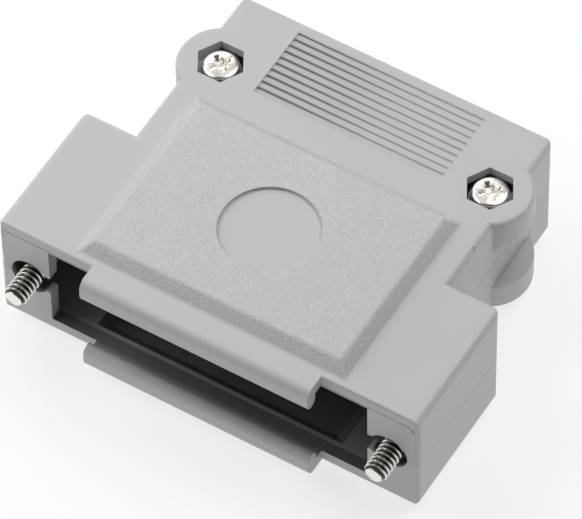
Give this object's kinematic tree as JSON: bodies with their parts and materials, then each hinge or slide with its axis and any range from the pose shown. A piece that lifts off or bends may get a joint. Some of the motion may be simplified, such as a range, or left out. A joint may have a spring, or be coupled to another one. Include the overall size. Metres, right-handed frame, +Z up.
{
  "type": "d-sub hood",
  "caption": "Grey plastic clamshell hood for a D-sub connector, with captive jackscrews at the ends, screwed ears and a cable clamp inside.",
  "frame": {"origin": "centre of the connector opening, in the plane of the connector face, at the middle of the height", "axes": "+X across the width, -Y out of the connector face, +Y out of the cable outlet, +Z up out of the upper shell"},
  "size_m": [0.0546, 0.0456, 0.0186],
  "materials": {
    "moulded_plastic": "satin moulded, fine spark texture on the pads",
    "nickel": "bright nickel plate",
    "zinc": "pressed sheet, dull zinc plate",
    "black_rubber": "matt",
    "dark_rubber": "matt"
  },
  "bodies": {
    "hood": {"upper_shell": "moulded_plastic", "lower_shell": "moulded_plastic", "left_shell_screw": "nickel", "right_shell_screw": "nickel", "left_shell_nut": "nickel", "right_shell_nut": "nickel", "upper_saddle": "zinc", "lower_saddle": "zinc", "left_clamp_screw": "nickel", "right_clamp_screw": "nickel", "left_clamp_washer": "zinc", "right_clamp_washer": "zinc", "left_clamp_nut": "nickel", "right_clamp_nut": "nickel", "cable_grommet": "black_rubber", "cable_sleeve": "dark_rubber"},
    "left_screw": {"left_jackscrew": "nickel"},
    "right_screw": {"right_jackscrew": "nickel"}
  },
  "joints": [
    {"name": "left_screw_turn", "type": "hinge", "parent": "hood", "child": "left_screw", "pos_m": [-0.02352, 0, -0.00045], "axis": [0, 1, 0], "continuous": true},
    {"name": "right_screw_turn", "type": "hinge", "parent": "hood", "child": "right_screw", "pos_m": [0.02352, 0, -0.00045], "axis": [0, 1, 0], "continuous": true}
  ]
}
